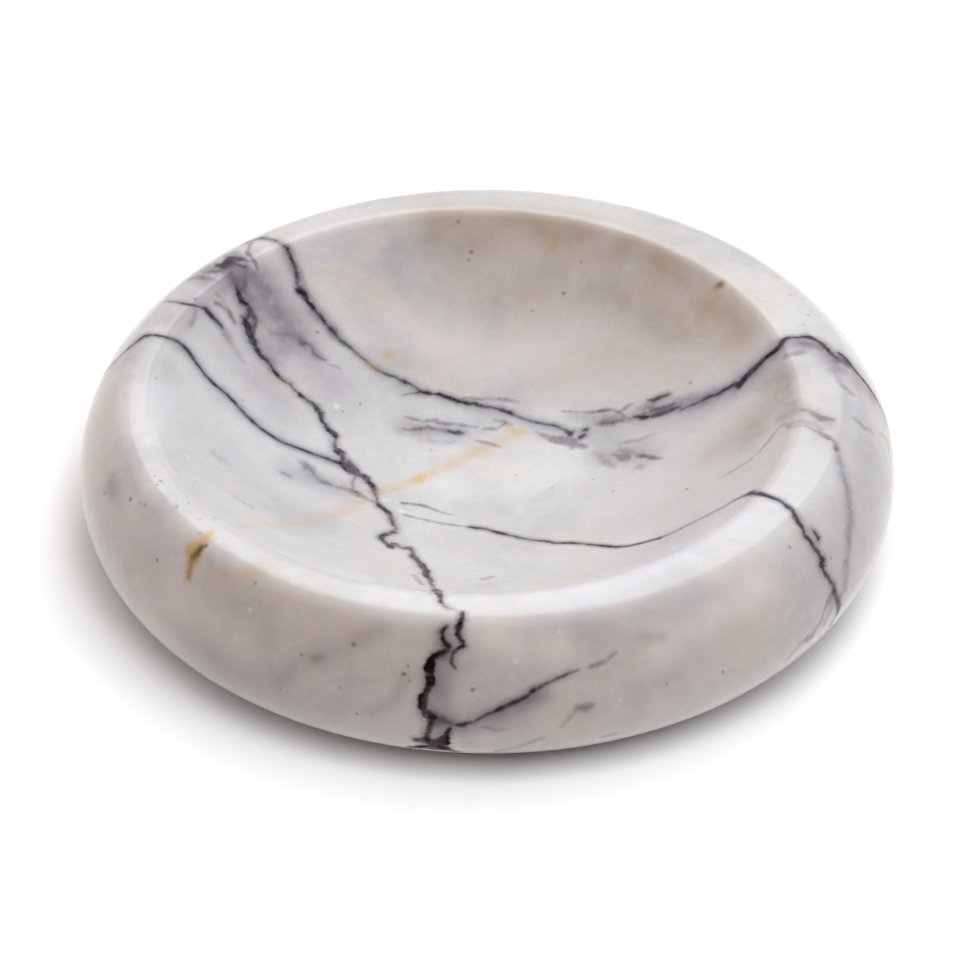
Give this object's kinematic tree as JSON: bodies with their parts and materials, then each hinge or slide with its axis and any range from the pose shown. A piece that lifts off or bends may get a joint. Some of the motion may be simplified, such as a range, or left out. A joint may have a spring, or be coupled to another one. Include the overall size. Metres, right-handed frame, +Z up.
{
  "type": "ring dish",
  "caption": "Low round stone dish with a smooth round bowl and a thick bulging rim, on small soft pads, for rings and small jewellery.",
  "frame": {"origin": "centre of the widest circle, dropped to the surface that the dish stands on", "axes": "+Z up out of the bowl, -Y towards the pictured front, +X to its right"},
  "size_m": [0.1, 0.1, 0.0237],
  "materials": {
    "veined_marble": "polished white marble with dark violet veins",
    "soft_pad": "matte, slightly milky"
  },
  "bodies": {
    "root": {"marble_dish": "veined_marble", "foot_pad_1": "soft_pad", "foot_pad_2": "soft_pad", "foot_pad_3": "soft_pad", "foot_pad_4": "soft_pad"}
  },
  "joints": []
}
